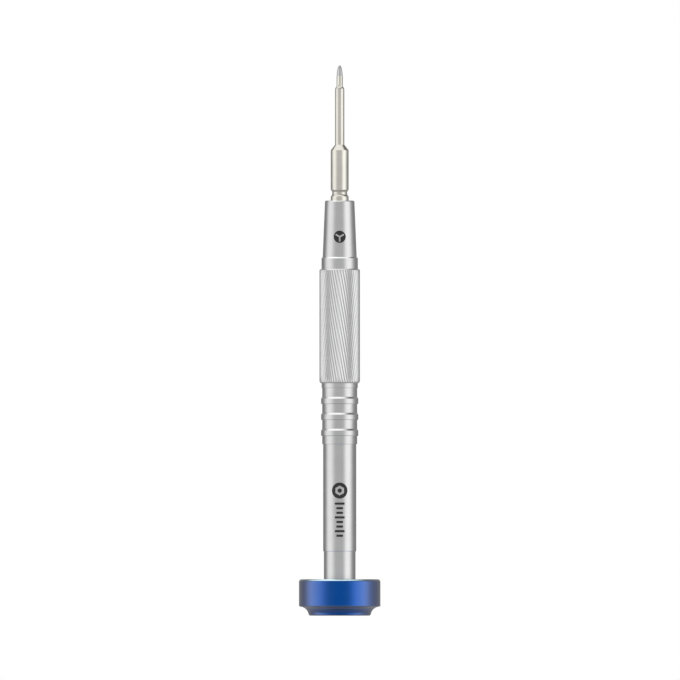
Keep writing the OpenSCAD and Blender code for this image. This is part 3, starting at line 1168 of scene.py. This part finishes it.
@dataclass
class Studio:
    """A plain pale studio: a white floor, soft light all round and the camera."""

    front_level: float = 0.56
    back_level: float = 0.27
    high_level: float = 0.14
    low_level: float = 0.33
    under_level: float = 0.18
    floor_half: float = 0.45
    fill_power: float = 9.0
    camera_distance: float = 1.1
    view_width: float = 151.111
    front_fade: tuple[float, float] = (80, 130)
    under_fade: tuple[float, float] = (-55, -85)
    low_fade: tuple[float, float] = (-12, -38)
    high_fade: tuple[float, float] = (18, 40)
    floor_shade: float = 0.93
    fill_size: float = 1.6
    fill_height: float = 1.2
    aim_right: float = 0.067
    aim_height: float = 61.26
    strips: tuple[Strip, ...] = (
        Strip(-74, 8, 40, 0.53),
        Strip(61, 8, 34, 0.68),
    )
    overheads: tuple[Overhead, ...] = (
        Overhead((-0.18, -0.06, 0.982), (36, 52), 0.86),
        Overhead((-0.12, 0.3, 0.946), (8, 22), 1.2),
    )

    def world(self) -> None:
        """Lights the scene from all round; the camera itself sees plain white."""
        world = bpy.data.worlds.new("studio")
        bpy.context.scene.world = world
        world.use_nodes = True
        nodes = Nodes(world.node_tree)
        direction = nodes.add("TexCoord").outputs["Generated"]
        x, y, z = nodes.feed(nodes.add("SeparateXYZ"), Vector=direction).outputs
        azimuth = nodes.maths("ARCTAN2", x, nodes.maths("MULTIPLY", y, -1.0))
        rise = nodes.maths("ARCSINE", z)

        def degrees(value: Socket, low: float, high: float) -> Socket:
            """Eases from 0 to 1 between two angles in degrees."""
            return nodes.ramp(value, math.radians(low), math.radians(high), 0.0, 1.0)

        def blend(share: Socket, first: object, second: object) -> Socket:
            """Mixes two levels by a share."""
            rest = nodes.maths("SUBTRACT", 1.0, share)
            return nodes.maths("ADD", nodes.maths("MULTIPLY", rest, first),
                               nodes.maths("MULTIPLY", share, second))

        aside = nodes.maths("ABSOLUTE", azimuth)
        level = blend(degrees(aside, *self.front_fade), self.front_level, self.back_level)
        for strip in self.strips:
            off = nodes.maths("ABSOLUTE", nodes.maths("SUBTRACT", azimuth, math.radians(strip.azimuth)))
            across = degrees(off, strip.half_width + strip.fade, strip.half_width)
            level = nodes.maths("ADD", level, nodes.maths("MULTIPLY", across, strip.level))
        under = blend(degrees(rise, *self.under_fade), self.low_level, self.under_level)
        level = blend(degrees(rise, *self.low_fade), level, under)
        level = blend(degrees(rise, *self.high_fade), level, self.high_level)
        for overhead in self.overheads:
            toward = nodes.add("VectorMath", operation="DOT_PRODUCT")
            for socket, value in zip(toward.inputs, (direction, overhead.aim)):
                nodes.give(socket, value)
            near, far = map(math.radians, overhead.spread)
            cover = nodes.ramp(toward.outputs["Value"], math.cos(far), math.cos(near), 0.0,
                               overhead.level)
            level = nodes.maths("ADD", level, cover)
        lit = nodes.feed(nodes.add("Background"), Color=level, Strength=1.0)
        white = nodes.feed(nodes.add("Background"), Color=(1, 1, 1, 1), Strength=1.0)
        seen = nodes.add("LightPath").outputs["Is Camera Ray"]
        nodes.end("OutputWorld", nodes.mix(seen, lit.outputs[0], white.outputs[0]))

    def floor(self) -> None:
        """Lays a plain pale floor, which is clear when seen from below."""
        half = self.floor_half
        corners = np.array([(-1, -1, 0), (1, -1, 0), (1, 1, 0), (-1, 1, 0)]) * half
        mesh = bpy.data.meshes.new("floor")
        mesh.from_pydata(corners.tolist(), [], [(0, 1, 2, 3)])
        floor = bpy.data.objects.new("floor", mesh)
        bpy.context.scene.collection.objects.link(floor)
        material = bpy.data.materials.new("pale_floor")
        material.use_nodes = True
        nodes = Nodes(material.node_tree)
        pale = nodes.feed(nodes.add("BsdfDiffuse"), Color=(*[self.floor_shade] * 3, 1))
        clear = nodes.add("BsdfTransparent")
        under = nodes.add("NewGeometry").outputs["Backfacing"]
        nodes.end("OutputMaterial", nodes.mix(under, pale.outputs[0], clear.outputs[0]))
        mesh.materials.append(material)
        floor.visible_glossy = False

    def fill_light(self) -> None:
        """Hangs a wide soft light overhead that brightens only the floor."""
        data = bpy.data.lights.new("floor_fill", "AREA")
        data.shape = "DISK"
        data.size = self.fill_size
        data.energy = self.fill_power
        light = bpy.data.objects.new("floor_fill", data)
        light.location = (0.0, 0.0, self.fill_height)
        light.visible_glossy = False
        bpy.context.scene.collection.objects.link(light)

    def camera(self) -> None:
        """Sets a level camera at mid height that sees the tool without perspective."""
        data = bpy.data.cameras.new("camera")
        data.type = "ORTHO"
        data.ortho_scale = self.view_width * MM
        data.clip_end = 100.0
        camera = bpy.data.objects.new("camera", data)
        camera.location = (self.aim_right * MM, -self.camera_distance, self.aim_height * MM)
        camera.rotation_euler = (TURN / 4, 0.0, 0.0)
        bpy.context.scene.collection.objects.link(camera)
        bpy.context.scene.camera = camera

    def build(self) -> None:
        """Sets up the world, the floor, the light and the camera."""
        self.camera()
        self.world()
        self.floor()
        self.fill_light()
        bpy.context.scene.view_settings.view_transform = "Standard"
        LOG.info("set up the studio")


def main() -> None:
    """Builds the studio and every piece of the screwdriver, in order."""
    logging.basicConfig(level=logging.INFO, format="%(name)s: %(message)s")
    Studio().build()
    handle = Handle()
    handle.build()
    Marks(handle).build()
    Bit().build()
    Cap().build()
    Inside().build()


if __name__ == "__main__":
    main()
